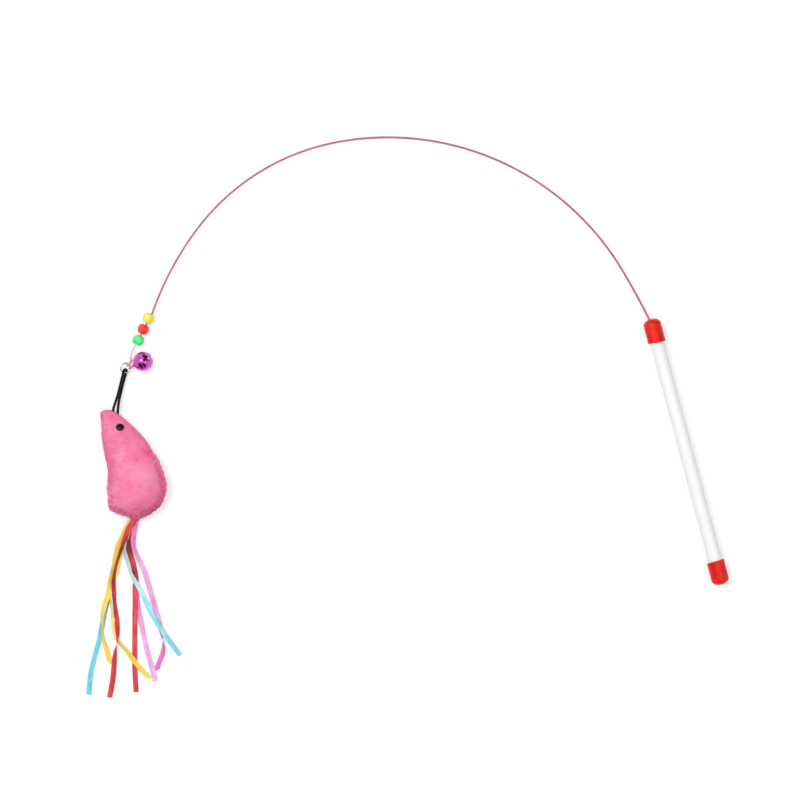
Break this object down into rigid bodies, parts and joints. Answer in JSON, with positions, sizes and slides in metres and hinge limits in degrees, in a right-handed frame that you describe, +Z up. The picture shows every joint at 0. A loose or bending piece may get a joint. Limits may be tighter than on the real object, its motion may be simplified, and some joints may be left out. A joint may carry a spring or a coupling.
{
  "type": "cat teaser wand",
  "caption": "Teaser wand: capped tube handle, sprung wire bow with loose beads, jingle bell on a split ring, and a stuffed mouse with a ribbon tail on an elastic cord.",
  "frame": {"origin": "on the handle's axis, in the plane of the tube's rear end, inside the rear cap", "axes": "+Y along the handle towards the wire, +Z up from the surface that the wand lies on, and the bow turns towards -X"},
  "size_m": [0.4694, 0.3804, 0.0275],
  "materials": {
    "tube_white": "smooth, glossy",
    "cap_red": "dip-moulded vinyl, glossy",
    "plug_ivory": "moulded",
    "ferrule_brass": "crimped",
    "spring_steel": "drawn",
    "bare_wire": "thin pale pink film",
    "wire_pink": "extruded coat",
    "eye_pink": "moulded",
    "bead_yellow": "neon, satin",
    "bead_red": "neon, satin",
    "bead_green": "neon, satin",
    "ring_nickel": "bright nickel",
    "bell_magenta": "bright coloured lacquer on brass sheet",
    "pellet_steel": "plain",
    "cord_black": "braided elastic",
    "fleece_pink": "short-pile fleece",
    "stuffing": "polyester filling",
    "eye_black": "polished",
    "ribbon_yellow": "satin ribbon",
    "ribbon_red": "satin ribbon",
    "ribbon_blue": "satin ribbon",
    "ribbon_lilac": "satin ribbon"
  },
  "bodies": {
    "handle": {"handle_tube": "tube_white", "rear_cap": "cap_red", "front_cap": "cap_red", "wire_plug": "plug_ivory", "wire_ferrule": "ferrule_brass", "wire_core_root": "spring_steel", "wire_coat_root": "wire_pink"},
    "bow": {"wire_core": "bare_wire", "wire_coat": "wire_pink", "wire_eye": "eye_pink"},
    "bead_1": {"bead_yellow": "bead_yellow"},
    "bead_2": {"bead_red": "bead_red"},
    "bead_3": {"bead_green": "bead_green"},
    "ring": {"jump_ring": "ring_nickel"},
    "bell": {"bell_crown": "bell_magenta", "bell_skirt": "bell_magenta"},
    "pellet": {"bell_pellet": "pellet_steel"},
    "mouse": {"cord_loop": "cord_black", "cord_knot": "cord_black", "mouse_upper_panel": "fleece_pink", "mouse_lower_panel": "fleece_pink", "mouse_stuffing": "stuffing", "eye_left": "eye_black", "eye_right": "eye_black", "tail_tab": "ribbon_red"},
    "tail": {"ribbon_yellow_long": "ribbon_yellow", "ribbon_yellow_short": "ribbon_yellow", "ribbon_red_long": "ribbon_red", "ribbon_red_short": "ribbon_red", "ribbon_blue_long": "ribbon_blue", "ribbon_blue_short": "ribbon_blue", "ribbon_lilac_long": "ribbon_lilac", "ribbon_lilac_short": "ribbon_lilac"}
  },
  "joints": [
    {"name": "bow_flex", "type": "hinge", "parent": "handle", "child": "bow", "pos_m": [-0.00122, 0.193, 0], "axis": [0, 0, 1], "range_deg": [-20, 20], "stiffness_Nm_per_rad": 0.06},
    {"name": "bead_yellow_spin", "type": "hinge", "parent": "bow", "child": "bead_1", "pos_m": [-0.34961, 0.28672, -0.00148], "axis": [-0.6361, -0.7716, -0.0021], "continuous": true},
    {"name": "bead_red_spin", "type": "hinge", "parent": "bow", "child": "bead_2", "pos_m": [-0.35514, 0.28001, -0.00211], "axis": [-0.6361, -0.7716, -0.0021], "continuous": true},
    {"name": "bead_green_spin", "type": "hinge", "parent": "bow", "child": "bead_3", "pos_m": [-0.36067, 0.2733, -0.00225], "axis": [-0.6361, -0.7716, -0.0021], "continuous": true},
    {"name": "ring_swing", "type": "hinge", "parent": "bow", "child": "ring", "pos_m": [-0.37284, 0.25751, -0.00123], "axis": [0, 0, 1], "range_deg": [-60, 6]},
    {"name": "bell_flip", "type": "hinge", "parent": "ring", "child": "bell", "pos_m": [-0.37113, 0.25564, -0.00123], "axis": [0.1908, -0.9816, 0], "range_deg": [0, 60]},
    {"name": "pellet_roll", "type": "hinge", "parent": "bell", "child": "pellet", "pos_m": [-0.36114, 0.25758, 0.0009], "axis": [0.9816, 0.1908, 0], "continuous": true},
    {"name": "mouse_swing", "type": "hinge", "parent": "ring", "child": "mouse", "pos_m": [-0.37457, 0.25625, -0.00123], "axis": [0, 0, 1], "range_deg": [-45, 15]},
    {"name": "tail_swing", "type": "hinge", "parent": "mouse", "child": "tail", "pos_m": [-0.39698, 0.14927, -0.00074], "axis": [0, 0, 1], "range_deg": [-30, 30], "deforming": ["ribbon_yellow_long", "ribbon_yellow_short", "ribbon_red_long", "ribbon_red_short", "ribbon_blue_long", "ribbon_blue_short", "ribbon_lilac_long", "ribbon_lilac_short"]}
  ]
}
